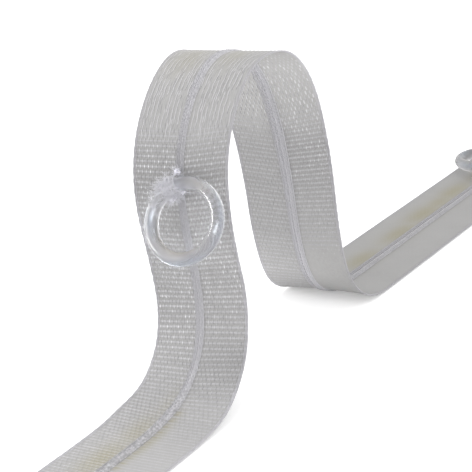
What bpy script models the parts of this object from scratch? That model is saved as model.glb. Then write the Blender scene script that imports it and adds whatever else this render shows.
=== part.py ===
"""Roman blind ring tape: a cut length of sheer woven tape with a raised centre
rib, standing in one curl on a surface, with two clear rings tacked to the rib.

Metres, +Z up. The tape runs away along +Y, its width lies along +X, and both
of its end stretches lie flat on z = 0. The front face is the one with the
rings, and it looks up where the tape lies flat.
"""

import math

import bmesh
import bpy
from mathutils import Matrix, Vector

MM = 0.001

# Tape
TAPE_WIDTH = 18.0 * MM
TAPE_THICK = 1.0 * MM
RIB_WIDTH = 1.8 * MM
RIB_TOP_WIDTH = 1.0 * MM
RIB_THICK = 1.2 * MM
TAPE_STATIONS = 128
ROUTE_STEP = 0.5 * MM

# Rings
RING_OUTER = 13.6 * MM
RING_WIRE = 2.2 * MM

# Thread tacks
GAP = 0.45 * MM  # between a tack and what it holds
TACK_THICK = 0.8 * MM
TACK_WIDTH = 2.0 * MM

# The middle of the near cut end, on the surface. It puts the middle of the
# whole box over the origin.
START = Vector((2.0 * MM, -94.4 * MM, 0.0))

# The folds, in order along the tape. Each row gives a stretch's length, and
# what the tape has reached at its far end:
#   slope  how steeply the tape climbs, 90 straight up, -90 straight down
#   lean   how far the right edge stands above the left one, as an angle
#   swing  the turn of the weft about the upright axis
#   curl   how far the edges stand forward of the rib
FOLD_COLUMNS = ("name", "run_mm", "slope_deg", "lean_deg", "swing_deg", "curl_mm")
FOLDS = (
    ("lead_in", 26, 0, 0, 0, 0.0),
    ("lift", 12, 10, 0, 0, -0.1),
    ("lower_curl", 9, 39, 6, -3, -0.3),
    ("rise", 9, 72, 8, -6, -0.4),
    ("upright", 10, 89, 8, -6, -0.1),
    ("lean_back", 8, 82, 7, -4, 0.1),
    ("shoulder", 10, 57, 6, -2, 0.2),
    ("near_brow", 10, 33, 5, -1, 0.3),
    ("crown", 9, -6, 2, 0, 0.6),
    ("far_brow", 7, -42, 3, 1, 0.6),
    ("turn_down", 8, -72, 4, 1, 0.4),
    ("drop", 9, -83, 3, -1, 0.2),
    ("plumb", 11, -89, 3, -4, 0.0),
    ("foot_curl", 10, -76, 3, -5, -0.2),
    ("foot", 9, -28, 2, -3, -0.3),
    ("landing", 8, 0, 0, -1, 0.0),
    ("run_out", 90, 0, 0, -1, 0.0),
)

# The rings. Each one is held where its wire crosses the rib:
#   run        the tack's place along the tape
#   aside      the ring's centre, to the right of the rib
#   side       which way the ring lies from its tack, along the tape
#   stand_off  between the wire and the top of the rib, at the tack
#   tip        how far the free end of the ring is swung off the tape
#   roll       how far its right side is turned towards the tape
RING_COLUMNS = (
    "name", "tack", "run_mm", "aside_mm", "side", "stand_off_mm", "tip_deg", "roll_deg"
)
RINGS = (
    ("ring_1", "tack_1", 76.4, 3.1, -1, 0.8, 15.3, 6.2),
    ("ring_2", "tack_2", 227.2, -2.2, +1, 0.3, 0.0, 0.0),
)


def column(name):
    """The running length at each row's end, and the column's values there."""
    place = FOLD_COLUMNS.index(name)
    runs, values = [0.0], [0.0]
    for row in FOLDS:
        runs.append(runs[-1] + row[1] * MM)
        values.append(float(row[place]))
    return runs, values


def smooth(runs, values):
    """A smooth curve through the rows that never overshoots them."""
    gaps = [b - a for a, b in zip(runs, runs[1:])]
    rises = [(b - a) / g for a, b, g in zip(values, values[1:], gaps)]
    slants = [0.0] * len(runs)
    for i in range(1, len(runs) - 1):
        before, after = rises[i - 1], rises[i]
        if before * after > 0:
            w_before = 2 * gaps[i] + gaps[i - 1]
            w_after = gaps[i] + 2 * gaps[i - 1]
            slants[i] = (w_before + w_after) / (w_before / before + w_after / after)

    def at(run):
        i = 0
        while i < len(gaps) - 1 and run > runs[i + 1]:
            i += 1
        g, t = gaps[i], min(max((run - runs[i]) / gaps[i], 0.0), 1.0)
        return (
            (1 + 2 * t) * (1 - t) ** 2 * values[i]
            + t * (1 - t) ** 2 * g * slants[i]
            + t * t * (3 - 2 * t) * values[i + 1]
            + t * t * (t - 1) * g * slants[i + 1]
        )

    return at


slope_at = smooth(*column("slope_deg"))
lean_at = smooth(*column("lean_deg"))
swing_at = smooth(*column("swing_deg"))
curl_at = smooth(*column("curl_mm"))
TAPE_LENGTH = sum(row[1] for row in FOLDS) * MM


def directions(run):
    """Along the tape, across it to the right, and out of its front face."""
    slope = math.radians(slope_at(run))
    lean = math.radians(lean_at(run))
    swing = math.radians(swing_at(run))
    across = Vector(
        (
            math.cos(lean) * math.cos(swing),
            math.cos(lean) * math.sin(swing),
            math.sin(lean),
        )
    )
    level = Vector((-math.sin(swing), math.cos(swing), 0.0))
    climb = across.cross(level)
    along = (level * math.cos(slope) + climb * math.sin(slope)).normalized()
    return along, across, across.cross(along)


def rib_route():
    """Points of the back face's middle line, a step apart.

    The far leg is stretched by the little that brings its foot back down to
    the surface.
    """
    points, run = [Vector((0.0, 0.0, 0.0))], 0.0
    for _ in range(round(TAPE_LENGTH / ROUTE_STEP)):
        along = directions(run + ROUTE_STEP / 2)[0]
        points.append(points[-1] + along * ROUTE_STEP)
        run += ROUTE_STEP
    top = max(range(len(points)), key=lambda i: points[i].z)
    height = points[top].z
    stretch = height / (height - points[-1].z)
    for point in points[top:]:
        point.z = height - (height - point.z) * stretch
    return [START + point for point in points]


ROUTE = rib_route()


def place_on(run):
    """The middle line's point, and the three directions there."""
    step = min(max(run / ROUTE_STEP, 0.0), len(ROUTE) - 1.001)
    i = int(step)
    return (ROUTE[i].lerp(ROUTE[i + 1], step - i), *directions(run))


def material(name, colour, roughness, transmission=0.0):
    made = bpy.data.materials.new(name)
    made.use_nodes = True
    shader = made.node_tree.nodes["Principled BSDF"]
    shader.inputs["Base Color"].default_value = (*colour, 1.0)
    shader.inputs["Roughness"].default_value = roughness
    shader.inputs["Metallic"].default_value = 0.0
    shader.inputs["Transmission Weight"].default_value = transmission
    return made


def add_mesh(name, bm, collection, finish):
    mesh = bpy.data.meshes.new(name)
    bm.to_mesh(mesh)
    bm.free()
    made = bpy.data.objects.new(name, mesh)
    made.data.materials.append(finish)
    collection.objects.link(made)
    return made


def build_tape(collection, finish):
    """A flat grid, laid along the route and given its thickness.

    Nothing of it sinks below the surface that it lies on.
    """
    half = TAPE_WIDTH / 2
    columns = [-half, -0.72 * half, -0.42 * half, -RIB_WIDTH / 2, -RIB_TOP_WIDTH / 2]
    columns += [-c for c in reversed(columns)]
    bm = bmesh.new()
    bmesh.ops.create_grid(
        bm, x_segments=len(columns) - 1, y_segments=TAPE_STATIONS, size=1.0
    )
    weights = {}
    for i, vertex in enumerate(bm.verts):
        aside = columns[round((vertex.co.x + 1) / 2 * (len(columns) - 1))]
        run = (vertex.co.y + 1) / 2 * TAPE_LENGTH
        point, _, across, front = place_on(run)
        curl = curl_at(run) * MM * (aside / half) ** 2
        vertex.co = point + across * aside + front * curl
        vertex.co.z = max(vertex.co.z, 0.0)
        weights[i] = 1.0 if abs(aside) < RIB_WIDTH * 0.45 else 0.0
    tape = add_mesh("tape", bm, collection, finish)
    rib = tape.vertex_groups.new(name="rib")
    for i, weight in weights.items():
        rib.add([i], weight, "REPLACE")
    solid = tape.modifiers.new("thickness", "SOLIDIFY")
    solid.thickness = RIB_THICK
    solid.offset = 1.0
    solid.vertex_group = "rib"
    solid.thickness_vertex_group = TAPE_THICK / RIB_THICK
    tape.data.shade_smooth()
    return tape


def ring_place(row):
    """The ring's centre and directions, and where its tack holds the wire."""
    _, _, run_mm, aside_mm, side, stand_off_mm, tip, roll = row
    radius = (RING_OUTER - RING_WIRE) / 2
    aside = aside_mm * MM
    reach = math.sqrt(radius**2 - aside**2)
    point, along, across, up = place_on(run_mm * MM)
    height = RIB_THICK + stand_off_mm * MM + RING_WIRE / 2
    wire = point + up * height
    turn = Matrix.Rotation(math.radians(tip * side), 3, across) @ Matrix.Rotation(
        math.radians(roll), 3, along
    )
    along, across, front = turn @ along, turn @ across, turn @ up
    centre = wire + across * aside + along * side * reach
    return centre, along, across, front, wire, up, height


def build_ring(row, collection, finish):
    centre, along, across, front = ring_place(row)[:4]
    bpy.ops.mesh.primitive_torus_add(
        major_radius=(RING_OUTER - RING_WIRE) / 2,
        minor_radius=RING_WIRE / 2,
        major_segments=40,
        minor_segments=12,
    )
    ring = bpy.context.object
    ring.name = ring.data.name = row[0]
    for holder in list(ring.users_collection):
        holder.objects.unlink(ring)
    collection.objects.link(ring)
    ring.matrix_world = (
        Matrix.Translation(centre)
        @ Matrix((across, along, front)).transposed().to_4x4()
    )
    ring.data.materials.append(finish)
    ring.data.shade_smooth()
    return ring


def build_tack(row, collection, finish):
    """A strap of thread over the ring's wire, down to the rib on both sides."""
    centre, _, _, front, wire, up, height = ring_place(row)
    inner = RING_WIRE / 2 + GAP
    outer = inner + TACK_THICK
    leg = height - RIB_THICK - GAP
    steps = 12
    arc = [math.pi * i / steps for i in range(steps + 1)]
    outline = [(outer * math.cos(a), outer * math.sin(a)) for a in arc]
    outline += [(-outer, -leg), (-inner, -leg)]
    outline += [(inner * math.cos(a), inner * math.sin(a)) for a in reversed(arc)]
    outline += [(inner, -leg), (outer, -leg)]
    curve = bpy.data.curves.new(row[1], "CURVE")
    curve.dimensions = "2D"
    curve.fill_mode = "BOTH"
    curve.extrude = TACK_WIDTH / 2
    spline = curve.splines.new("POLY")
    spline.points.add(len(outline) - 1)
    for spot, (x, y) in zip(spline.points, outline):
        spot.co = (x, y, 0.0, 1.0)
    spline.use_cyclic_u = True
    tack = bpy.data.objects.new(row[1], curve)
    curve.materials.append(finish)
    collection.objects.link(tack)
    along_wire = (centre - wire).cross(front).normalized()
    over = (up - along_wire * up.dot(along_wire)).normalized()
    tack.matrix_world = (
        Matrix.Translation(wire)
        @ Matrix((over.cross(along_wire), over, along_wire)).transposed().to_4x4()
    )
    return tack


def main():
    for old in list(bpy.data.objects):
        bpy.data.objects.remove(old)
    parts = bpy.data.collections.new("roman_blind_ring_tape")
    bpy.context.scene.collection.children.link(parts)
    cloth = material("sheer_tape", (0.62, 0.62, 0.61), 0.45)
    clear = material("clear_ring", (0.88, 0.90, 0.93), 0.08, 0.85)
    thread = material("tack_thread", (0.80, 0.80, 0.84), 0.60)
    build_tape(parts, cloth)
    for row in RINGS:
        build_ring(row, parts, clear)
        build_tack(row, parts, thread)


main()
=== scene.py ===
"""The looks of a length of roman blind ring tape: a plain weave of fine warp and
thicker weft threads on a sheer ground, a plaited centre rib, corded selvedges,
two clear rings and the thread that tacks them to the rib.

Metres, +Z up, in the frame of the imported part. The tape's own route is worked
out from the same fold table as the solid's.
"""

import math

import bpy
import numpy as np
from mathutils import Matrix, Vector


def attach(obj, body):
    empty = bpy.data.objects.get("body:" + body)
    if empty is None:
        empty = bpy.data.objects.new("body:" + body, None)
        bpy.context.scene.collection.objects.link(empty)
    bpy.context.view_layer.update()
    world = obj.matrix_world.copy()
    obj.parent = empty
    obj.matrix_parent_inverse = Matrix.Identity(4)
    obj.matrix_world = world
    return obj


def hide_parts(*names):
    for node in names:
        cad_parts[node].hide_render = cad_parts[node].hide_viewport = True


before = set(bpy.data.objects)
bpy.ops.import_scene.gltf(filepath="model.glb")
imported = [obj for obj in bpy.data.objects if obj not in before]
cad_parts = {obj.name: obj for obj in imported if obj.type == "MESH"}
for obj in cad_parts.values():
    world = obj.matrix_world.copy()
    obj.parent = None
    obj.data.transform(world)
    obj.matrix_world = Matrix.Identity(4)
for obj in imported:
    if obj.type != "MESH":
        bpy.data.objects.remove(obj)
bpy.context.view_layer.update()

MM = 0.001

# ---------------------------------------------------------------- the camera
# As the photograph was taken: its place, its turn, and a long lens.
CAMERA_AT = Vector((136.8 * MM, -243.62 * MM, 104.68 * MM))
CAMERA_AZIMUTH, CAMERA_ELEVATION, CAMERA_ROLL = 32.495, 18.402, -6.024
CAMERA_LENS = 130.02


def make_camera():
    az, el, roll = (
        math.radians(a) for a in (CAMERA_AZIMUTH, CAMERA_ELEVATION, CAMERA_ROLL)
    )
    ahead = Vector(
        (-math.sin(az) * math.cos(el), math.cos(az) * math.cos(el), -math.sin(el))
    )
    right = Vector((math.cos(az), math.sin(az), 0.0))
    up = right.cross(ahead)
    right, up = (
        right * math.cos(roll) + up * math.sin(roll),
        up * math.cos(roll) - right * math.sin(roll),
    )
    data = bpy.data.cameras.new("camera")
    data.lens = CAMERA_LENS
    data.sensor_width = 36.0
    data.clip_start, data.clip_end = 0.01, 50.0
    camera = bpy.data.objects.new("camera", data)
    bpy.context.scene.collection.objects.link(camera)
    camera.matrix_world = (
        Matrix.Translation(CAMERA_AT)
        @ Matrix((right, up, -ahead)).transposed().to_4x4()
    )
    bpy.context.scene.camera = camera


# ------------------------------------------------------------------ the tape
TAPE_WIDTH = 18.0 * MM
HALF = TAPE_WIDTH / 2
RIB_THICK = 1.2 * MM  # of the solid
ROUTE_STEP = 0.5 * MM
START = np.array((2.0, -94.4, 0.0)) * MM

# The folds, as in the solid, with one more column: how far the weft is carried
# along the tape at the rib, next to the edges.
FOLD_COLUMNS = (
    "name", "run_mm", "slope_deg", "lean_deg", "swing_deg", "curl_mm", "bow_mm"
)
FOLDS = (
    ("lead_in", 26, 0, 0, 0, 0.0, -0.2),
    ("lift", 12, 10, 0, 0, -0.1, -0.6),
    ("lower_curl", 9, 39, 6, -3, -0.3, -0.6),
    ("rise", 9, 72, 8, -6, -0.4, 0.0),
    ("upright", 10, 89, 8, -6, -0.1, -0.5),
    ("lean_back", 8, 82, 7, -4, 0.1, -0.6),
    ("shoulder", 10, 57, 6, -2, 0.1, -0.6),
    ("near_brow", 10, 33, 5, -1, 0.1, -0.3),
    ("crown", 9, -6, 0.8, 0, 0.05, 0.3),
    ("far_brow", 7, -42, 2, 1, 0.2, 0.9),
    ("turn_down", 8, -72, 4, 1, 0.3, 1.2),
    ("drop", 9, -83, 3, -1, 0.2, 1.0),
    ("plumb", 11, -89, 3, -4, 0.0, 0.6),
    ("foot_curl", 10, -76, 3, -5, -0.2, 0.4),
    ("foot", 9, -28, 2, -3, -0.3, 0.2),
    ("landing", 8, 0, 0, -1, 0.0, 0.0),
    ("run_out", 90, 0, 0, -1, 0.0, 0.0),
)
TAPE_LENGTH = sum(row[1] for row in FOLDS) * MM


def smooth_column(name):
    """The column as a smooth curve through the rows that never overshoots."""
    place = FOLD_COLUMNS.index(name)
    runs = np.concatenate([[0.0], np.cumsum([row[1] for row in FOLDS])]) * MM
    values = np.array([0.0] + [float(row[place]) for row in FOLDS])
    gaps = np.diff(runs)
    rises = np.diff(values) / gaps
    slants = np.zeros(len(runs))
    for i in range(1, len(runs) - 1):
        before, after = rises[i - 1], rises[i]
        if before * after > 0:
            w_before = 2 * gaps[i] + gaps[i - 1]
            w_after = gaps[i] + 2 * gaps[i - 1]
            slants[i] = (w_before + w_after) / (w_before / before + w_after / after)

    def at(run):
        run = np.clip(run, 0.0, TAPE_LENGTH)
        i = np.clip(np.searchsorted(runs, run, side="left") - 1, 0, len(gaps) - 1)
        g = gaps[i]
        t = (run - runs[i]) / g
        return (
            (1 + 2 * t) * (1 - t) ** 2 * values[i]
            + t * (1 - t) ** 2 * g * slants[i]
            + t * t * (3 - 2 * t) * values[i + 1]
            + t * t * (t - 1) * g * slants[i + 1]
        )

    return at


slope_at = smooth_column("slope_deg")
lean_at = smooth_column("lean_deg")
swing_at = smooth_column("swing_deg")
curl_at = smooth_column("curl_mm")
bow_at = smooth_column("bow_mm")


def directions(run):
    """Along the tape, across it to the right, and out of its front face."""
    slope, lean, swing = (
        np.radians(f(run)) for f in (slope_at, lean_at, swing_at)
    )
    across = np.stack(
        [np.cos(lean) * np.cos(swing), np.cos(lean) * np.sin(swing), np.sin(lean)], -1
    )
    level = np.stack([-np.sin(swing), np.cos(swing), 0 * swing], -1)
    climb = np.cross(across, level)
    along = level * np.cos(slope)[..., None] + climb * np.sin(slope)[..., None]
    along /= np.linalg.norm(along, axis=-1, keepdims=True)
    return along, across, np.cross(across, along)


def rib_route():
    """The back face's middle line, with the far leg brought down to the floor."""
    count = round(TAPE_LENGTH / ROUTE_STEP)
    middles = (np.arange(count) + 0.5) * ROUTE_STEP
    steps = directions(middles)[0] * ROUTE_STEP
    points = np.concatenate([np.zeros((1, 3)), np.cumsum(steps, axis=0)])
    top = int(points[:, 2].argmax())
    height = points[top, 2]
    stretch = height / (height - points[-1, 2])
    points[top:, 2] = height - (height - points[top:, 2]) * stretch
    return points + START


ROUTE = rib_route()
ROUTE_RUNS = np.arange(len(ROUTE)) * ROUTE_STEP


def lay(run, aside, height):
    """Points on the tape: along it, to the right of the rib, above the back face.
    The weft's bow carries them along, and nothing sinks below the floor."""
    run, aside, height = np.broadcast_arrays(
        np.asarray(run, float), np.asarray(aside, float), np.asarray(height, float)
    )
    run = run + bow_at(run) * MM * (1 - np.abs(aside) / HALF)
    run = np.clip(run, 0.0, TAPE_LENGTH)
    point = np.stack([np.interp(run, ROUTE_RUNS, ROUTE[:, i]) for i in range(3)], -1)
    _, across, front = directions(run)
    curl = curl_at(run) * MM * (aside / HALF) ** 2
    base = point + across * aside[..., None] + front * curl[..., None]
    lifted = base + front * height[..., None]
    lifted[..., 2] += np.maximum(-base[..., 2], 0.0)
    return lifted, front


# -------------------------------------------------------------- mesh helpers
def unit(v):
    return v / np.maximum(np.linalg.norm(v, axis=-1, keepdims=True), 1e-12)


def mesh_object(name, vertices, loops, counts, attributes=()):
    """A smooth-shaded mesh object from flat arrays."""
    mesh = bpy.data.meshes.new(name)
    mesh.vertices.add(len(vertices))
    mesh.vertices.foreach_set("co", np.asarray(vertices, np.float32).ravel())
    mesh.loops.add(len(loops))
    mesh.loops.foreach_set("vertex_index", np.asarray(loops, np.int32))
    starts = np.concatenate([[0], np.cumsum(counts)[:-1]])
    mesh.polygons.add(len(counts))
    mesh.polygons.foreach_set("loop_start", np.asarray(starts, np.int32))
    mesh.polygons.foreach_set("use_smooth", np.ones(len(counts), bool))
    for label, values in attributes:
        layer = mesh.attributes.new(label, "FLOAT", "POINT")
        layer.data.foreach_set("value", np.asarray(values, np.float32).ravel())
    mesh.update(calc_edges=True)
    mesh.validate()
    made = bpy.data.objects.new(name, mesh)
    bpy.context.scene.collection.objects.link(made)
    return made


def sweep(name, centres, ups, half_width, half_thick, sides=4, attributes=()):
    """Closed threads, one for each row of centres, an ellipse in section."""
    centres = np.asarray(centres, float)
    count, length = centres.shape[:2]
    tangents = unit(np.gradient(centres, axis=1))
    side = unit(np.cross(tangents, ups))
    up = np.cross(side, tangents)
    angles = 2 * np.pi * np.arange(sides) / sides
    wide = np.broadcast_to(np.asarray(half_width, float), (count, length))
    thick = np.broadcast_to(np.asarray(half_thick, float), (count, length))
    ring = (
        centres[:, :, None]
        + side[:, :, None] * (wide[..., None] * np.cos(angles))[..., None]
        + up[:, :, None] * (thick[..., None] * np.sin(angles))[..., None]
    )
    index = np.arange(count * length * sides).reshape(count, length, sides)
    turned = np.roll(index, -1, axis=2)
    quads = np.stack(
        [index[:, :-1], index[:, 1:], turned[:, 1:], turned[:, :-1]], -1
    ).reshape(-1, 4)
    caps = np.concatenate([index[:, 0], index[:, -1, ::-1]])
    loops = np.concatenate([quads.ravel(), caps.ravel()])
    counts = np.concatenate([np.full(len(quads), 4), np.full(len(caps), sides)])
    spread = [
        (label, np.repeat(np.broadcast_to(v, (count, length))[..., None], sides, 2))
        for label, v in attributes
    ]
    return mesh_object(name, ring.reshape(-1, 3), loops, counts, spread)


def join(name, objects):
    """One object from several, keeping their attributes."""
    for o in bpy.context.selected_objects:
        o.select_set(False)
    for o in objects:
        o.select_set(True)
    bpy.context.view_layer.objects.active = objects[0]
    bpy.ops.object.join()
    made = bpy.context.view_layer.objects.active
    made.name = made.data.name = name
    made.select_set(False)
    return made


# ------------------------------------------------------------------ materials
class Nodes:
    """A short way to write a node tree."""

    def __init__(self, name):
        self.material = bpy.data.materials.new(name)
        self.material.use_nodes = True
        self.tree = self.material.node_tree
        self.shader = self.tree.nodes["Principled BSDF"]

    def add(self, kind, inputs=(), **settings):
        node = self.tree.nodes.new(kind)
        for key, value in settings.items():
            setattr(node, key, value)
        for key, value in dict(inputs).items():
            if isinstance(value, bpy.types.NodeSocket):
                self.tree.links.new(value, node.inputs[key])
            else:
                node.inputs[key].default_value = value
        return node

    def noise(self, scale, detail=2.0, roughness=0.5, stretch=None):
        place = self.add("ShaderNodeTexCoord").outputs["Object"]
        if stretch:
            place = self.add(
                "ShaderNodeMapping", {"Vector": place, "Scale": stretch}
            ).outputs["Vector"]
        return self.add(
            "ShaderNodeTexNoise",
            {"Vector": place, "Scale": scale, "Detail": detail, "Roughness": roughness},
        ).outputs["Fac"]

    def attribute(self, label):
        return self.add("ShaderNodeAttribute", attribute_name=label).outputs["Fac"]

    def spread(self, value, low, high, to_low=0.0, to_high=1.0):
        return self.add(
            "ShaderNodeMapRange",
            {0: value, 1: low, 2: high, 3: to_low, 4: to_high},
        ).outputs[0]

    def times(self, a, b):
        return self.add("ShaderNodeMath", {0: a, 1: b}, operation="MULTIPLY").outputs[0]

    def scaled(self, colour, amount):
        return self.add(
            "ShaderNodeVectorMath", {0: colour, "Scale": amount}, operation="SCALE"
        ).outputs[0]

    def mix(self, factor, a, b, blend="MIX"):
        node = self.tree.nodes.new("ShaderNodeMix")
        node.data_type, node.blend_type = "RGBA", blend
        node.clamp_factor = True
        for key, value in ((0, factor), (6, a), (7, b)):
            if isinstance(value, bpy.types.NodeSocket):
                self.tree.links.new(value, node.inputs[key])
            elif key == 0:
                node.inputs[key].default_value = value
            else:
                node.inputs[key].default_value = (*value, 1.0)
        return node.outputs[2]

    def set(self, **values):
        for key, value in values.items():
            socket = self.shader.inputs[key.replace("_", " ")]
            if isinstance(value, bpy.types.NodeSocket):
                self.tree.links.new(value, socket)
            elif isinstance(value, tuple) and len(value) == 3:
                socket.default_value = (*value, 1.0)
            else:
                socket.default_value = value
        return self

    def bump(self, height, strength, distance):
        made = self.add(
            "ShaderNodeBump",
            {"Height": height, "Strength": strength, "Distance": distance},
        )
        self.tree.links.new(made.outputs["Normal"], self.shader.inputs["Normal"])
        return self


STAIN = (0.264, 0.244, 0.169)
PAINTED_HIGHLIGHT_WHITE = (0.95, 0.95, 0.97)


def thread_material(name, colour, shade, roughness, stain=0.6, specular=0.35):
    """Polyester thread: a little uneven in colour, with a fine twist. Whitened by
    painted highlights where its knuckles glint, lighter or darker in streaks, and
    scaled by a tone that is painted light and shade."""
    n = Nodes(name)
    patch = n.noise(160.0, 3.0, 0.6)
    fleck = n.noise(2600.0, 2.0, 0.6)
    base = n.mix(n.spread(patch, 0.35, 0.65), colour, shade)
    dark = tuple(c * 0.9 for c in shade)
    base = n.mix(n.times(n.spread(fleck, 0.45, 0.75), 0.35), base, dark)
    streak = n.attribute("streak")
    # Streaks lighter or darker; on the rib the streak carries painted light.
    base = n.mix(n.spread(streak, 0.0, 1.0), base, tuple(c * 1.32 for c in colour))
    base = n.mix(n.spread(streak, 0.0, -1.0), base, tuple(c * 0.80 for c in shade))
    base = n.mix(n.times(n.attribute("stain"), stain), base, STAIN)
    # Painted light and shade: the tone attribute scales the colour.
    base = n.scaled(base, n.attribute("tone"))
    # Painted highlight: the glint attribute whitens the thread where its knuckles would catch the light.
    base = n.mix(n.spread(n.attribute("glint"), 0.0, 1.0), base, PAINTED_HIGHLIGHT_WHITE)
    n.set(Base_Color=base, Specular_IOR_Level=specular, Metallic=0.0)
    n.set(Roughness=n.spread(fleck, 0.3, 0.7, roughness - 0.06, roughness + 0.08))
    n.set(Sheen_Weight=0.1, Sheen_Roughness=0.5)
    n.bump(n.noise(5200.0, 2.0, 0.6), 0.2, 0.00002)
    return n.material


def ground_material():
    """The sheer ground between the threads: fine filaments both ways."""
    n = Nodes("sheer_ground")
    patch = n.noise(120.0, 3.0, 0.6)
    base = n.mix(n.spread(patch, 0.35, 0.65), (0.312, 0.308, 0.305), (0.286, 0.282, 0.280))
    fibres = n.noise(2400.0, 3.0, 0.65)
    base = n.mix(n.spread(fibres, 0.35, 0.7), base, (0.327, 0.323, 0.320))
    base = n.mix(n.times(n.attribute("stain"), 0.85), base, STAIN)
    base = n.scaled(base, n.attribute("tone"))
    n.set(Base_Color=base, Metallic=0.0, Specular_IOR_Level=0.3)
    n.set(Roughness=n.spread(fibres, 0.3, 0.7, 0.5, 0.65))
    n.bump(fibres, 0.3, 0.00004)
    return n.material


def ring_material():
    """Clear moulded plastic, duller in places, with painted shade and painted tan and blue reflections in its
    colour.
    """
    n = Nodes("clear_plastic")
    flow = n.noise(260.0, 2.0, 0.5)
    base = n.mix(n.spread(flow, 0.3, 0.7), (0.84, 0.84, 0.865), (0.90, 0.90, 0.915))
    # Painted shade: the plastic is darker where the attribute says.
    base = n.mix(n.attribute("painted_shade"), base, (0.32, 0.315, 0.315))
    # Painted reflections: tan and pale blue where the attributes say.
    base = n.mix(n.attribute("tan"), base, (0.90, 0.82, 0.70))
    base = n.mix(n.attribute("blue"), base, (0.72, 0.83, 1.0))
    n.set(Base_Color=base)
    fine = n.spread(flow, 0.3, 0.7, 0.15, 0.20)
    dull = n.spread(n.attribute("dull"), 0.0, 1.0, 0.0, 0.42)
    n.set(Roughness=n.add("ShaderNodeMath", {0: fine, 1: dull}, operation="ADD").outputs[0])
    n.set(Transmission_Weight=1.0, IOR=1.36, Metallic=0.0, Specular_IOR_Level=0.4)
    n.set(Coat_Weight=0.6, Coat_Roughness=0.08, Coat_IOR=1.4)
    n.bump(n.noise(90.0, 1.0, 0.4), 0.02, 0.00005)
    return n.material


def floor_material():
    n = Nodes("pale_floor")
    grain = n.noise(6.0, 3.0, 0.5)
    n.set(Base_Color=n.mix(grain, (0.93, 0.93, 0.93), (0.95, 0.95, 0.95)))
    n.set(Roughness=n.spread(grain, 0.3, 0.7, 0.7, 0.8), Specular_IOR_Level=0.2)
    n.set(Emission_Color=(1.0, 1.0, 1.0), Emission_Strength=0.25)
    return n.material


# ------------------------------------------------------------ the tape's weave
WEFT_PITCH = 0.785 * MM
WEFT_HALF_WIDTH = 0.21 * MM
WEFT_HALF_THICK = 0.07 * MM
WARP_PITCH = 0.38 * MM
WARP_HALF_WIDTH = 0.085 * MM
WARP_HALF_THICK = 0.05 * MM
CRIMP = 0.095 * MM  # how far a warp thread rises over a weft thread
MIDDLE = 0.25 * MM  # the weave's middle, above the solid's back face
GROUND_HALF = 0.03 * MM
FIRST_WARP = 0.98 * MM
WARPS_A_SIDE = 20
SELVEDGE_ASIDES = (8.50, 8.68, 8.86)  # mm from the rib
WEFTS = int((TAPE_LENGTH - 0.6 * MM) / WEFT_PITCH)
FIRST_WEFT = (TAPE_LENGTH - (WEFTS - 1) * WEFT_PITCH) / 2

# Old marks in the cloth, beside the rib, and a scalloped tan fringe along the rib's right side on the lead-in.
STAIN_COLUMNS = ("run_mm", "aside_mm", "long_mm", "wide_mm", "strength")
STAINS = (
    (14.0, -2.2, 9.0, 2.4, 0.68),
    (25.0, -2.4, 6.5, 2.6, 0.88),
    (34.0, -2.1, 5.0, 2.3, 0.70),
    (41.0, -1.5, 4.0, 1.5, 0.35),
    (32.0, 1.5, 7.0, 0.9, 0.65),
    (99.5, -4.6, 4.0, 3.2, 0.40),
    (100.0, 3.2, 3.5, 2.6, 0.35),
    (166.0, -2.3, 4.0, 1.8, 0.70),
    (176.0, -2.4, 6.0, 2.4, 0.90),
    (191.0, -2.3, 7.0, 2.4, 0.95),
    (203.0, -2.9, 7.5, 2.6, 1.00),
    (210.0, -2.9, 6.0, 2.3, 0.88),
    (217.0, -3.1, 7.0, 2.4, 0.95),
    (228.0, -2.8, 6.0, 2.0, 0.60),
) + tuple((23.0 + 1.7 * k, 1.35, 0.6, 0.7, 0.95) for k in range(11))
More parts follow.
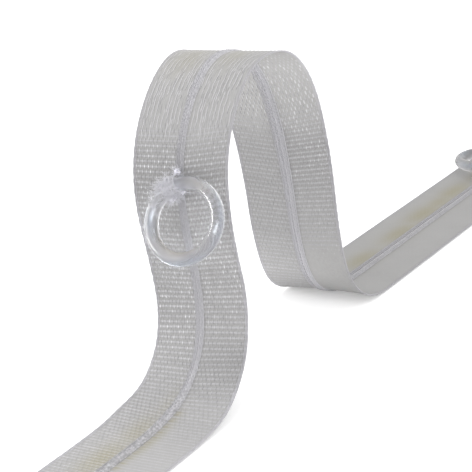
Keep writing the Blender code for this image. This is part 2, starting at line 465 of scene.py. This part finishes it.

# How the cloth looks along its length: its tone, which is painted light and shade,
# how plainly the weave shows, how far its knuckles carry painted glints on each side
# of the rib, how streaky its warp is, how far the knuckles and their painted glints
# draw out into dashes, and the rib's grain, its painted light where it lies in shade,
# and its height and width.
LOOK_COLUMNS = (
    "run_mm", "tone", "weave_left", "weave_right", "glint_left", "glint_right",
    "streak", "dash", "grain", "rib_painted_light", "rib_mm", "rib_wide",
)
LOOKS = (
    (0, 1.33, 0.6, 0.25, 0.40, 0.10, 0.0, 0.0, 0.9, 0.05, 0.27, 1.1),
    (30, 1.33, 0.6, 0.25, 0.46, 0.10, 0.0, 0.0, 0.9, 0.05, 0.27, 1.1),
    (41, 1.22, 0.8, 0.6, 0.35, 0.10, 0.0, 0.0, 1.0, 0.5, 0.21, 1.1),
    (47, 1.10, 0.9, 1.0, 0.40, 0.20, 0.0, 0.0, 0.8, 0.9, 0.14, 1.0),
    (50, 1.04, 1.0, 1.0, 0.60, 0.30, 0.0, 0.0, 0.4, 1.1, 0.07, 1.0),
    (54, 1.07, 1.0, 0.9, 0.95, 0.60, 0.0, 0.0, 0.3, 1.1, 0.05, 1.1),
    (58, 1.06, 1.0, 1.0, 1.00, 0.85, 0.0, 0.0, 0.3, 1.0, 0.05, 1.1),
    (64, 1.06, 1.0, 1.0, 0.60, 0.70, 0.0, 0.0, 0.3, 0.8, 0.05, 1.1),
    (70, 1.03, 1.0, 1.0, 0.70, 0.95, 0.0, 0.0, 0.3, 0.85, 0.05, 1.1),
    (76, 0.95, 1.0, 1.0, 0.70, 0.50, 0.0, 0.0, 0.3, 0.9, 0.05, 1.0),
    (80, 0.93, 1.1, 0.9, 0.95, 0.60, 0.0, 0.0, 0.3, 0.7, 0.05, 1.0),
    (83, 0.96, 0.8, 0.7, 0.80, 0.60, 0.2, 0.0, 0.4, 0.7, 0.05, 1.0),
    (86, 1.06, 0.2, 0.2, 0.30, 0.30, 0.8, 0.0, 0.6, 0.8, 0.05, 1.0),
    (94, 1.16, 0.0, 0.0, 0.10, 0.10, 1.0, 0.0, 0.5, 0.9, 0.06, 1.1),
    (100, 1.20, 0.0, 0.0, 0.10, 0.10, 0.8, 0.0, 0.7, 1.2, 0.08, 1.1),
    (106, 1.38, 0.0, 0.0, 0.22, 0.26, 0.3, 0.6, 0.5, 0.8, 0.08, 1.3),
    (112, 1.59, 0.0, 0.0, 0.36, 0.42, 0.0, 1.0, 0.2, 0.55, 0.08, 1.5),
    (120, 1.34, 0.1, 0.2, 0.32, 0.42, 0.0, 1.0, 0.2, 0.75, 0.08, 1.6),
    (124, 1.17, 0.5, 0.7, 0.28, 0.55, 0.0, 0.4, 0.2, 1.0, 0.08, 1.6),
    (127, 1.10, 0.8, 1.1, 0.22, 0.65, 0.0, 0.0, 0.1, 1.1, 0.08, 1.5),
    (134, 1.07, 0.8, 0.9, 0.20, 0.52, 0.0, 0.0, 0.1, 1.1, 0.08, 1.4),
    (142, 1.12, 0.7, 0.6, 0.18, 0.38, 0.0, 0.0, 0.1, 1.1, 0.09, 1.3),
    (150, 1.27, 0.7, -0.4, 0.10, 0.15, 0.0, 0.0, 0.2, 0.9, 0.12, 1.3),
    (158, 1.07, 0.1, 0.1, 0.00, 0.00, 0.0, 0.0, 0.2, 0.7, 0.15, 1.4),
    (170, 0.985, 0.0, 0.0, 0.00, 0.00, 0.0, 0.0, 0.3, 0.9, 0.16, 1.5),
    (255, 0.985, 0.0, 0.0, 0.00, 0.00, 0.0, 0.0, 0.3, 0.9, 0.16, 1.5),
)


def look(name, run):
    place = LOOK_COLUMNS.index(name)
    return np.interp(run / MM, [row[0] for row in LOOKS], [row[place] for row in LOOKS])


# Painted shade: how far the tone slants from the left edge to the right one, one side made darker than the
# other as the light falls.
PAINTED_SIDE_SHADE_COLUMNS = ("run_mm", "tilt")
PAINTED_SIDE_SHADE = (
    (42, 0.0), (50, -0.12), (55, 0.03), (60, 0.02), (70, 0.0), (90, 0.0), (96, -0.04),
    (104, -0.03), (112, 0.0), (142, 0.0), (150, -0.16), (156, -0.10), (164, 0.0),
)


# The tone is painted light and shade: lighter or darker along the tape, and slanted across it.
def painted_light_at(run, aside):
    tilt = np.interp(run / MM, [row[0] for row in PAINTED_SIDE_SHADE], [row[1] for row in PAINTED_SIDE_SHADE])
    return look("tone", run) * (1 + tilt * aside / HALF)


def weave_at(run, aside):
    """How plainly the weave shows, passing smoothly from one side to the other."""
    share = np.clip(aside / (3.0 * MM) + 0.5, 0.0, 1.0)
    return look("weave_left", run) * (1 - share) + look("weave_right", run) * share


def stain_at(run, aside):
    found = np.zeros(np.broadcast(run, aside).shape)
    for at, beside, long, wide, strength in STAINS:
        far = ((run / MM - at) / long) ** 2 + ((aside / MM - beside) / wide) ** 2
        found = np.maximum(found, strength * np.exp(-far))
    return found


def weft_run(number):
    return FIRST_WEFT + number * WEFT_PITCH


def build_ground():
    """A thin closed sheet, as wide and as long as the tape."""
    asides = np.linspace(-HALF + 0.10 * MM, HALF - 0.10 * MM, 27)
    runs = np.linspace(0.0, TAPE_LENGTH, 561)
    run, aside = np.meshgrid(runs, asides, indexing="ij")
    open_weave = np.clip(weave_at(run, aside), 0, 1)
    half = GROUND_HALF + 0.04 * MM * (1 - open_weave)
    top, _ = lay(run, aside, MIDDLE + half)
    low, _ = lay(run, aside, MIDDLE - half)
    rows, columns = run.shape
    vertices = np.concatenate([top.reshape(-1, 3), low.reshape(-1, 3)])
    i = np.arange(rows * columns).reshape(rows, columns)
    a, b, c, d = i[:-1, :-1], i[:-1, 1:], i[1:, 1:], i[1:, :-1]
    upper = np.stack([a, b, c, d], -1).reshape(-1, 4)
    lower = (upper + rows * columns)[:, ::-1]
    edge = np.concatenate([i[0, :], i[1:, -1], i[-1, -2::-1], i[-2:0:-1, 0]])
    after = np.roll(edge, -1)
    walls = np.stack([edge, edge + rows * columns, after + rows * columns, after], -1)
    quads = np.concatenate([upper, lower, walls])
    stain = np.tile(stain_at(run, aside).ravel(), 2)
    # Its tone is painted light and shade, a little darker where the weave shows plainly.
    return mesh_object(
        "tape_ground", vertices, quads.ravel(), np.full(len(quads), 4),
        [("stain", stain), ("tone", np.tile((painted_light_at(run, aside) * (1 - 0.10 * open_weave)).ravel(), 2))],
    )


def build_wefts():
    """One thread, back and forth, with a turn inside each selvedge."""
    inner = np.linspace(-8.1, 8.1, 23)
    turn_asides = (-8.80, -8.77, -8.66, -8.42)
    turn_shares = (-0.5, -0.36, -0.16, -0.04)
    asides = np.concatenate([turn_asides, inner, [-x for x in reversed(turn_asides)]]) * MM
    shares = np.concatenate(
        [turn_shares, 0 * inner, [-x for x in reversed(turn_shares)]]
    )
    numbers = np.arange(WEFTS)[:, None]
    way = np.where(numbers % 2 == 0, 1.0, -1.0)
    run = weft_run(numbers) + shares * WEFT_PITCH
    aside = asides * way
    rng = np.random.default_rng(11)
    wander = rng.normal(0, 0.022, (WEFTS, 6)) * MM
    knots = np.linspace(-1, 1, 6)
    run = run + np.stack([np.interp(asides / HALF, knots, w) for w in wander])
    wide = WEFT_HALF_WIDTH * (1 + rng.normal(0, 0.05, (WEFTS, 1))) * np.ones_like(run)
    wide = wide * np.where(np.abs(aside) > 8.3 * MM, 0.5, 1.0)
    points, fronts = lay(run, aside, MIDDLE)
    rough = np.interp(run / MM, (38, 50), (1.9, 1.0))  # creased on the lead-in
    plain = 0.10 * rng.normal(0, 1, (WEFTS, 1)) + 0.13 * rng.normal(0, 1, run.shape)
    plain = 0.46 + rough * plain
    plain = weave_at(run, aside) * plain
    return sweep(
        "weft_threads", points, fronts, wide, WEFT_HALF_THICK, 6,
        [("stain", stain_at(run, aside)), ("streak", plain), ("glint", 0 * run),
         ("tone", painted_light_at(run, aside))],
    )


def build_warps(
    name, asides, half_width, seed, crimp=CRIMP, glint=1.0, half_thick=WARP_HALF_THICK
):
    """Threads along the tape, over one weft and under the next."""
    rng = np.random.default_rng(seed)
    asides = np.asarray(asides)
    count = len(asides)
    stations = 3 * (WEFTS - 1) + 1
    run = weft_run(np.arange(stations)[None, :] / 3.0)
    run = np.concatenate([[[0.03 * MM]], run, [[TAPE_LENGTH - 0.03 * MM]]], axis=1)
    place = (run - FIRST_WEFT) / WEFT_PITCH
    order = np.arange(count)[:, None]
    rise = np.cos(np.pi * (place + order))
    dash = look("dash", run) * glint
    rise = np.clip(rise * (1 + 0.7 * dash), -1, 1)
    knots = np.linspace(0, TAPE_LENGTH, 80)
    drift = np.stack([np.interp(run[0], knots, rng.normal(0, 0.30, 80)) for _ in asides])
    float_over = np.cos(np.pi * (order + 0.17 * place + drift))
    streak = look("streak", run) * glint
    wander = np.stack([np.interp(run[0], knots, rng.normal(0, 0.018, 80)) for _ in asides])
    ripple = np.sin(2 * np.pi * run / (3.1 * MM) + 0.45 * order + 2.2 * wander / 0.018)
    aside = asides[:, None] + (wander + 0.06 * ripple * streak) * MM
    run = np.broadcast_to(run, aside.shape)
    plainly = np.maximum(0.35 + 0.65 * np.minimum(weave_at(run, aside), 1), dash)
    lift = crimp * rise * plainly * (1 - streak)
    lift = lift + (0.06 + 0.035 * float_over) * MM * streak
    points, fronts = lay(run, aside, MIDDLE + lift)
    wide = half_width * (1 + 0.12 * rise * (1 - streak) + 0.45 * streak)
    wide = wide + half_width * 0.9 * dash * np.abs(rise)
    # Painted highlights: knuckles whitened where they would catch the light, in patches, and longer where the
    # dash column draws them out.
    knuckle = np.clip(np.rint(place), 0, WEFTS - 1).astype(int)[0]
    luck = rng.random((count, WEFTS))[:, knuckle] ** (1.6 - 0.4 * dash)
    side = look("glint_left", run) if asides[0] < 0 else look("glint_right", run)
    patch_knots = np.linspace(0, TAPE_LENGTH, 40)
    patch = np.interp(run[0], patch_knots, rng.uniform(0.55, 1.25, 40))
    painted_shine = glint * side * luck * patch * np.abs(rise) ** (3 - 2 * dash) * (1 - streak)
    uneven = rng.random((count, WEFTS))[:, knuckle] - 0.5
    uneven = uneven * np.interp(run / MM, (38, 50), (2.2, 1.0))
    streaks = weave_at(run, aside) * (0.62 * rise**2 - 0.20 + 0.7 * uneven)
    streaks = streaks * (1 - streak) + (1.9 * float_over + 1.8 * uneven) * streak
    return sweep(
        name, points, fronts, wide, half_thick, 4,
        [("stain", stain_at(run, aside)), ("streak", streaks), ("glint", painted_shine),
         ("tone", painted_light_at(run, aside))],
    )


def build_rib():
    """A flat padded core with plaited cords laid round it."""
    wide = 0.66 * MM

    def centre_at(run):
        on_top = np.interp(run / MM, (100, 108, 152, 160), (0.28, 0.25, 0.25, 0.28))
        return np.maximum(on_top, look("rib_mm", run) + 0.08) * MM

    def far_painted_light(run):
        """Painted light: the rib is made a little paler on the leg that goes down, where it lies in shade."""
        return np.interp(
            run / MM, (104, 112, 118, 126, 134, 142, 160),
            (1.0, 1.04, 1.03, 1.10, 1.13, 1.06, 1.0),
        )

    rng = np.random.default_rng(41)
    runs = np.linspace(0.0, TAPE_LENGTH, 520)[None, :]
    points, fronts = lay(runs, 0 * runs, centre_at(runs))
    # The streak of the core and the cords carries painted light, lighter where the rib lies in shade; the
    # cords also have a random grain.
    core = sweep(
        "rib_core", points, fronts, wide * look("rib_wide", runs) - 0.02 * MM, look("rib_mm", runs) * MM, 12,
        [("stain", 0.25 * stain_at(runs, -1.2 * MM + 0 * runs)),
         ("streak", look("rib_painted_light", runs)), ("glint", 0 * runs),
         ("tone", look("tone", runs) * far_painted_light(runs))],
    )
    cords, grain = 12, 0.62 * MM
    stations = int(TAPE_LENGTH / grain * 3.0) + 1
    run = np.linspace(0.02 * MM, TAPE_LENGTH - 0.02 * MM, stations)[None, :]
    order = np.arange(cords)[:, None]
    beat = np.cos(2 * np.pi * run / grain + np.pi * (order % 2) + 0.7 * np.sin(order))
    sway = 0.10 * np.sin(2 * np.pi * run / grain + np.pi * (order % 2))
    angle = 2 * np.pi * (order + 0.5) / cords + sway
    plainly = look("grain", run)
    out = 1.0 + 0.16 * beat * plainly
    aside = wide * look("rib_wide", run) * np.cos(angle) * out
    run = np.broadcast_to(run, aside.shape)
    height = centre_at(run) + look("rib_mm", run) * MM * np.sin(angle) * out
    points, _ = lay(run, aside, height)
    middle, _ = lay(run, 0 * aside, centre_at(run))
    luck = rng.random(aside.shape)
    # The cords' glint paints small highlights on them.
    around = sweep(
        "rib_cords", points, unit(points - middle),
        0.17 * MM * look("rib_wide", run) * (1 + 0.25 * beat * plainly), 0.065 * MM, 4,
        [("stain", 0.25 * stain_at(run, -1.2 * MM + 0 * run)),
         ("streak", look("rib_painted_light", run) + plainly * (1.7 * luck - 0.95)),
         ("glint", 0.32 * plainly * luck**3),
         ("tone", look("tone", run) * far_painted_light(run))],
    )
    return join("rib", [core, around])


# ------------------------------------------------------------------ the rings
RING_OUTER = 13.6 * MM
RING_WIRE = 2.2 * MM
RINGS = (
    ("ring_1", "tack_1", 76.4, 3.1, -1, 0.8, 15.3, 6.2),
    ("ring_2", "tack_2", 227.2, -2.2, +1, 0.3, 0.0, 0.0),
)
RING_SHADE_AND_DULL = {  # how much painted shade and how dull all round
    "ring_1": {"painted_shade": 0.0, "dull": 0.0},
    "ring_2": {"painted_shade": 0.62, "dull": 1.0},
}


def ring_place(row):
    """The ring's centre and directions, and where its tack holds the wire."""
    _, _, run_mm, aside_mm, side, stand_off_mm, tip, roll = row
    radius = (RING_OUTER - RING_WIRE) / 2
    aside = aside_mm * MM
    reach = math.sqrt(radius**2 - aside**2)
    run = run_mm * MM
    point = Vector([float(np.interp(run, ROUTE_RUNS, ROUTE[:, i])) for i in range(3)])
    along, across, up = (Vector(v) for v in directions(np.array(run)))
    height = RIB_THICK + stand_off_mm * MM + RING_WIRE / 2
    wire = point + up * height
    turn = Matrix.Rotation(math.radians(tip * side), 3, across) @ Matrix.Rotation(
        math.radians(roll), 3, along
    )
    along, across, front = turn @ along, turn @ across, turn @ up
    centre = wire + across * aside + along * side * reach
    return centre, along, across, front, wire, up, height


# Where shade and reflections are painted into the plastic's colour, and where it
# is duller: round the ring from its right side, and round the wire from its outer
# side over the front, with the reach each way.
TINT_COLUMNS = ("kind", "round_deg", "about_deg", "round_reach", "about_reach", "strength")
RING_TINTS = (
    ("dull", 180, 55, 65, 60, 1.0),
    ("dull", 180, 180, 75, 60, 0.4),
    ("dull", 90, 90, 45, 90, 0.35),
    ("dull", 262, 110, 45, 50, 0.8),
    ("painted_shade", 195, 172, 62, 34, 0.80),
    ("painted_shade", 0, 60, 45, 40, 0.60),
    ("painted_shade", 272, 52, 40, 25, 0.05),
    ("painted_shade", 95, 90, 40, 45, 0.20),
    ("blue", 0, 25, 45, 30, 0.60),
    ("painted_shade", 180, 0, 50, 28, 0.60),
    ("painted_shade", 42, 182, 24, 34, 0.85),
    ("painted_shade", 225, 0, 32, 26, 0.85),
    ("painted_shade", 318, 2, 30, 20, 0.70),
    ("tan", 268, 150, 45, 45, 1.00),
    ("tan", 18, 165, 16, 34, 0.80),
    ("tan", 65, 70, 28, 45, 0.50),
    ("blue", 274, 30, 32, 36, 1.00),
    ("blue", 184, 110, 24, 34, 0.70),
)


def tint(kind, around, about):
    found = np.zeros(around.shape)
    for name, at, over, reach, spread, strength in RING_TINTS:
        if name == kind:
            off = (np.degrees(around) - at + 180) % 360 - 180
            over_off = (np.degrees(about) - over + 180) % 360 - 180
            found = np.maximum(
                found, strength * np.exp(-((off / reach) ** 2) - (over_off / spread) ** 2)
            )
    return found


def build_ring(row):
    """A moulded ring: round wire, a faint parting line and its gate mark."""
    centre, along, across, front = ring_place(row)[:4]
    around, about = 144, 40
    u = 2 * np.pi * np.arange(around) / around
    v = 2 * np.pi * np.arange(about) / about
    u, v = np.meshgrid(u, v, indexing="ij")
    parting = np.exp(-((np.sin(v) / 0.10) ** 2))
    gate = np.exp(-(((u - 2.2) / 0.10) ** 2)) * np.exp(-((v / 0.35) ** 2))
    gate += np.exp(-(((u - 2.2) / 0.10) ** 2)) * np.exp(-(((v - 2 * np.pi) / 0.35) ** 2))
    wire = RING_WIRE / 2 + (0.012 * parting + 0.04 * gate - 0.01) * MM
    radius = (RING_OUTER - RING_WIRE) / 2 + wire * np.cos(v)
    flat = [np.array(d) for d in (across, along, front)]
    points = (
        np.array(centre)
        + flat[0] * (radius * np.cos(u))[..., None]
        + flat[1] * (radius * np.sin(u))[..., None]
        + flat[2] * (wire * np.sin(v))[..., None]
    )
    i = np.arange(around * about).reshape(around, about)
    a, b = np.roll(i, -1, axis=0), np.roll(i, -1, axis=1)
    c = np.roll(a, -1, axis=1)
    quads = np.stack([i, a, c, b], -1).reshape(-1, 4)
    # The tint attributes carry painted shade, painted tan and blue reflections, and how dull the plastic is.
    return mesh_object(
        row[0] + "_moulding", points.reshape(-1, 3), quads.ravel(),
        np.full(len(quads), 4),
        [
            (kind, np.maximum(tint(kind, u, v), RING_SHADE_AND_DULL[row[0]].get(kind, 0.0)))
            for kind in ("painted_shade", "tan", "blue", "dull")
        ],
    )


# ------------------------------------------------------------------ the tacks
STRAND_RADIUS = 0.034 * MM
HAIR_RADIUS = 0.017 * MM

# The knots of a tack: how far inwards of the wire, above it, and along it, and
# how large.
KNOT_COLUMNS = ("inwards_mm", "over_mm", "along_mm", "size_mm")
KNOTS = (
    (-2.2, -2.15, -1.7, 0.50),
    (0.90, -1.25, -1.20, 0.60),
    (1.45, 0.25, 0.05, 0.45),
)
STRANDS = 22
HAIRS = 620


def curve_through(points, count):
    """A smooth line through the points, evenly stepped."""
    points = np.asarray(points, float)
    padded = np.concatenate(
        [2 * points[:1] - points[1:2], points, 2 * points[-1:] - points[-2:-1]]
    )
    t = np.linspace(0, len(points) - 1, count)
    i = np.minimum(t.astype(int), len(points) - 2)
    f = (t - i)[:, None]
    p0, p1, p2, p3 = padded[i], padded[i + 1], padded[i + 2], padded[i + 3]
    return 0.5 * (
        2 * p1
        + (p2 - p0) * f
        + (2 * p0 - 5 * p1 + 4 * p2 - p3) * f**2
        + (3 * p1 - p0 - 3 * p2 + p3) * f**3
    )


def build_tack(row, seed):
    """Turns of thread from a knot on the rib, over the wire and through the rib
    again, with a knot on each side and some loose fibre."""
    rng = np.random.default_rng(seed)
    centre, _, _, front, wire, up, height = ring_place(row)
    along_wire = (centre - wire).cross(front).normalized()
    over = (up - along_wire * up.dot(along_wire)).normalized()
    outward = over.cross(along_wire)
    inwards = 1.0 if outward.dot(centre - wire) > 0 else -1.0
    axes = np.array([outward * inwards, over, along_wire], float)
    origin = np.array(wire, float)
    foot = -(height / MM) + 0.62
    shrink = -foot / 2.48

    def put(points):
        """Into the frame, and never down into the cloth."""
        points = np.array(points, float)
        points[..., 1] = np.maximum(points[..., 1], 0.42 - height / MM)
        placed = origin + points * MM @ axes
        placed[..., 2] = np.maximum(placed[..., 2], 0.1 * MM)
        return placed

    def knot_place(number):
        x, y, z, size = KNOTS[number]
        return np.array((x, y * shrink if y < 0 else y, z)), size

    radius = RING_WIRE / 2 / MM + 0.13
    strands = []
    for k in range(STRANDS):
        share = (k + 0.5) / STRANDS
        beside = -1.55 + 2.5 * share + rng.normal(0, 0.22)
        r = radius - 0.04 + 0.10 * (k % 4) + rng.uniform(0, 0.12)
        first, spread = knot_place(0)
        route = [
            first + rng.normal(0, 0.5 * spread, 3) * (1, 0.4, 1),
            (-1.75, 0.55 * foot, 0.55 * (first[2] + beside) + rng.normal(0, 0.06)),
        ]
        lean = rng.normal(0, 0.45)
        for a in np.linspace(np.pi * 0.93, -0.02 * np.pi, 8):
            route.append((r * math.cos(a), r * math.sin(a), beside + lean * math.cos(a)))
        last, spread = knot_place(1 + int(k > 0.4 * STRANDS))
        route.append(last + rng.normal(0, 0.5 * spread, 3))
        route.append((0.75 + rng.normal(0, 0.15), foot, 0.5 * last[2] + rng.normal(0, 0.15)))
        strands.append(put(curve_through(route, 44)))
    for number in range(len(KNOTS)):
        place, size = knot_place(number)
        for spin in range(15):
            t = np.linspace(0, 2 * np.pi, 10)[:-1]
            turn = rng.uniform(0, 2 * np.pi)
            loop = np.stack(
                [
                    0.42 * (np.sin(t + turn) + 0.9 * np.sin(2 * t)),
                    0.30 * (np.cos(t + turn) - 0.9 * np.cos(2 * t)),
                    0.62 * np.sin(3 * t + spin),
                ],
                -1,
            )
            loop = place + rng.normal(0, 0.12, 3) + size * loop * rng.uniform(0.7, 1.3)
            strands.append(put(curve_through(np.concatenate([loop, loop[:1]]), 44)))
    strands = np.array(strands)
    fronts = unit(strands - (origin - 0.3 * MM * axes[1]))
    luck = rng.random(strands.shape[:2])
    tone = np.repeat(rng.uniform(-0.2, 0.8, (len(strands), 1)), strands.shape[1], 1)
    # Painted light: the knots' turns are made much lighter than the strands, against the shade among their
    # turns, and glint paints small highlights on the thread.
    main = sweep(
        row[1] + "_strands", strands, fronts, STRAND_RADIUS, STRAND_RADIUS, 5,
        [("stain", 0 * luck), ("streak", tone), ("glint", 0.4 * luck**5),
         ("tone", 0 * luck + np.where(np.arange(len(strands)) < STRANDS, 1.02, 1.90)[:, None])],
    )
    hairs = []
    for _ in range(HAIRS):
        a = rng.uniform(-0.1, 1.0) * np.pi
        r = radius + 0.2
        beside = rng.uniform(-1.4, 0.9)
        if rng.random() < 0.25:  # a few have crept round the wire
            beside = 0.9 + 2.8 * rng.random() ** 1.4
        bent = beside**2 / ((RING_OUTER - RING_WIRE) / MM)
        start = np.array((r * math.cos(a) + bent, r * math.sin(a), beside))
        if rng.random() < 0.38:
            place, size = knot_place(int(rng.integers(0, 3)))
            start = place + rng.normal(0, size * 0.5, 3)
        drift = rng.normal(0, 1, 3) + 0.5 * np.array((math.cos(a), math.sin(a), 0))
        drift *= rng.uniform(0.5, 1.9) / np.linalg.norm(drift)
        bend = rng.normal(0, 0.18, 3)
        hairs.append(
            put(curve_through([start, start + 0.5 * drift + bend, start + drift], 9))
        )
    hairs = np.array(hairs)
    nothing = np.zeros(hairs.shape[:2])
    loose = sweep(
        row[1] + "_fibre", hairs, np.broadcast_to(axes[1], hairs.shape),
        HAIR_RADIUS, HAIR_RADIUS, 4,
        [("stain", nothing), ("streak", nothing + 0.6), ("glint", nothing),
         ("tone", nothing + 1)],
    )
    return join(row[1] + "_thread", [main, loose])


# ------------------------------------------------------------- stage and light
def make_stage():
    size = 6.0
    floor = mesh_object(
        "floor",
        [(-size, -size, -0.00002), (size, -size, -0.00002), (size, size, -0.00002), (-size, size, -0.00002)],
        [0, 1, 2, 3],
        [4],
    )
    floor.data.materials.append(floor_material())
    floor.visible_glossy = floor.visible_transmission = False
    return floor


def area_light(name, at, target, size, power, colour=(1.0, 1.0, 1.0)):
    data = bpy.data.lights.new(name, "AREA")
    data.shape = "RECTANGLE"
    data.size, data.size_y = size
    data.energy = power
    data.color = colour
    light = bpy.data.objects.new(name, data)
    bpy.context.scene.collection.objects.link(light)
    light.location = at
    light.rotation_euler = (
        (Vector(target) - Vector(at)).to_track_quat("-Z", "Y").to_euler()
    )
    return light


def make_light(rings, matt):
    world = bpy.data.worlds.new("studio")
    world.use_nodes = True
    tree = world.node_tree
    place = tree.nodes.new("ShaderNodeTexCoord")
    split = tree.nodes.new("ShaderNodeSeparateXYZ")
    spread = tree.nodes.new("ShaderNodeMapRange")
    below = tree.nodes.new("ShaderNodeMapRange")
    both = tree.nodes.new("ShaderNodeMath")
    both.operation = "MULTIPLY"
    tree.links.new(place.outputs["Generated"], split.inputs[0])
    tree.links.new(split.outputs["Z"], spread.inputs[0])
    tree.links.new(split.outputs["Z"], below.inputs[0])
    for number, value in ((1, 0.0), (2, 0.9), (3, 0.82), (4, 1.30)):
        spread.inputs[number].default_value = value
    for number, value in ((1, -0.12), (2, 0.0), (3, 0.42), (4, 1.0)):
        below.inputs[number].default_value = value
    tree.links.new(spread.outputs[0], both.inputs[0])
    tree.links.new(below.outputs[0], both.inputs[1])
    back = tree.nodes["Background"]
    back.inputs["Color"].default_value = (1.0, 1.0, 1.0, 1.0)
    tree.links.new(both.outputs[0], back.inputs["Strength"])
    bpy.context.scene.world = world
    middle = (0.0, -0.03, 0.025)
    key = area_light("key", (-0.95, -0.32, 0.34), middle, (0.22, 0.50), 4.0)
    fill = area_light("fill", (0.60, -0.66, 0.29), middle, (0.40, 0.40), 1.6)
    strip = area_light("strip", (-0.74, -0.51, 0.20), middle, (0.30, 0.50), 8.0)
    glint = area_light(
        "glint", (0.60, -0.66, 0.29), middle, (0.14, 0.32), 4.4, (0.88, 0.94, 1.0)
    )
    for light in (strip, glint):  # they light the upright ring alone
        light.light_linking.receiver_collection = rings
    key.light_linking.receiver_collection = matt  # it lights all but the rings
    for light in (key, fill, strip, glint):
        light.visible_transmission = False
    bpy.context.scene.view_settings.view_transform = "Standard"


def finish_piece(piece, material, slot, *nodes):
    piece.data.materials.clear()
    piece.data.materials.append(material)
    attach(piece, "root")
    if nodes:
        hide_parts(*nodes)
    return piece


def main():
    make_camera()
    floor = make_stage()
    rings = bpy.data.collections.new("upright_ring")
    matt = bpy.data.collections.new("all_but_rings")
    make_light(rings, matt)

    weft = thread_material("weft_polyester", (0.310, 0.306, 0.317), (0.298, 0.294, 0.303), 0.45)
    warp = thread_material("warp_polyester", (0.310, 0.306, 0.314), (0.295, 0.292, 0.298), 0.38)
    rib_thread = thread_material("rib_polyester", (0.345, 0.341, 0.357), (0.328, 0.324, 0.339), 0.5, stain=0.3)
    # The selvedge is paler than the warp: partly its own colour, partly painted light against the shade along
    # the edges.
    edge_thread = thread_material("selvedge_polyester", (0.372, 0.366, 0.386), (0.350, 0.345, 0.362), 0.42)
    sewing = thread_material("sewing_thread", (0.585, 0.582, 0.618), (0.515, 0.512, 0.548), 0.45, stain=0.0)
    clear = ring_material()

    ground = finish_piece(build_ground(), ground_material(), "tape", "tape")
    side = FIRST_WARP + np.arange(WARPS_A_SIDE) * WARP_PITCH
    edge = np.array(SELVEDGE_ASIDES) * MM
    pieces = [
        finish_piece(build_wefts(), weft, "tape"),
        finish_piece(build_warps("warp_threads_left", -side, WARP_HALF_WIDTH, 21), warp, "tape"),
        finish_piece(build_warps("warp_threads_right", side, WARP_HALF_WIDTH, 22), warp, "tape"),
        finish_piece(build_warps("selvedge_left", -edge, 0.12 * MM, 23, 0.03 * MM, 0.0, 0.11 * MM), edge_thread, "tape"),
        finish_piece(build_warps("selvedge_right", edge, 0.12 * MM, 24, 0.03 * MM, 0.0, 0.11 * MM), edge_thread, "tape"),
        finish_piece(build_rib(), rib_thread, "tape"),
    ]
    for i, row in enumerate(RINGS):
        ring = finish_piece(build_ring(row), clear, "ring", row[0])
        ring.visible_shadow = False  # clear plastic lets the light through
        if row[0] == "ring_1":
            rings.objects.link(ring)
        matt.objects.link(ring)
        finish_piece(build_tack(row, 31 + i), sewing, "thread", row[1])

    for item in matt.collection_objects:
        item.light_linking.link_state = "EXCLUDE"

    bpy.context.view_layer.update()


main()
